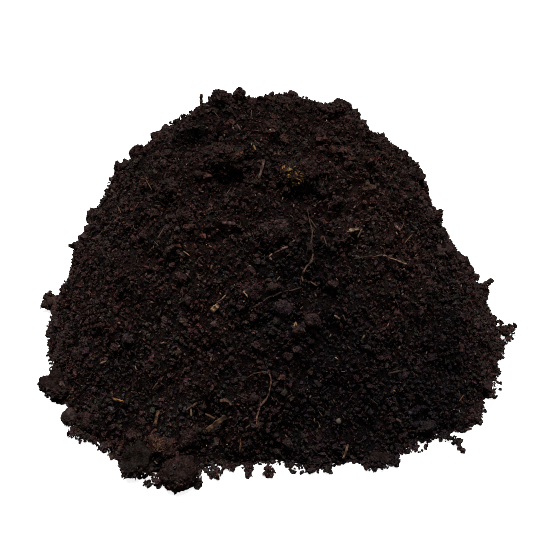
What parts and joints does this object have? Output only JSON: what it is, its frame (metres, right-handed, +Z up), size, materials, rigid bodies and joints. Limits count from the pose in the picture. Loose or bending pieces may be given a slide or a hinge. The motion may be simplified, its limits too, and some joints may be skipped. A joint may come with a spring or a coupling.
{
  "type": "heap of compost",
  "caption": "Free-standing heap of dark moist compost with clods, wood chips, straws and roots lying in its surface, resting flat on the ground.",
  "frame": {"origin": "on the ground under the middle of the heap's foot", "axes": "+Z up out of the ground, -Y towards the front of the heap, +X to the right seen from the front"},
  "size_m": [0.3337, 0.3086, 0.1656],
  "materials": {
    "compost": "matt, crumbly, moist",
    "clod": "matt, firm, moist",
    "wood_bits": "weathered, fibrous",
    "bark": "rough, fibrous",
    "root": "dull, fibrous",
    "grit": "dull"
  },
  "bodies": {
    "root": {"compost_mass": "compost", "brow_clod": "clod", "crown_clod_left": "clod", "crown_clod_peak": "clod", "crown_clod_right": "clod", "face_clod": "clod", "flank_clod_lower": "clod", "flank_clod_upper": "clod", "fleck_clod": "clod", "front_clod_big": "clod", "front_clod_dark": "clod", "front_clod_low": "clod", "front_clod_right": "clod", "grey_clod": "clod", "leaning_clod": "clod", "left_clod_high": "clod", "left_clod_long": "clod", "left_clod_smooth": "clod", "left_clod_wedge": "clod", "ochre_clod": "clod", "red_clod": "clod", "right_clod_high": "clod", "right_clod_low": "clod", "round_clod": "clod", "shiny_clod": "clod", "shoulder_clod_left": "clod", "shoulder_clod_right": "clod", "wood_chip_large": "wood_bits", "wood_chip_small": "wood_bits", "straw_short": "wood_bits", "straw_orange": "wood_bits", "straw_upright": "wood_bits", "straw_foot": "wood_bits", "straw_bent": "wood_bits", "tan_chip": "wood_bits", "yellow_chip": "wood_bits", "pale_chip": "wood_bits", "bark_strand": "bark", "bark_flake": "bark", "bark_curl": "bark", "splinter_upright": "bark", "root_long": "root", "root_dark": "root", "root_side": "root", "root_curled": "root", "grey_stone": "grit", "pale_seed": "grit"}
  },
  "joints": []
}
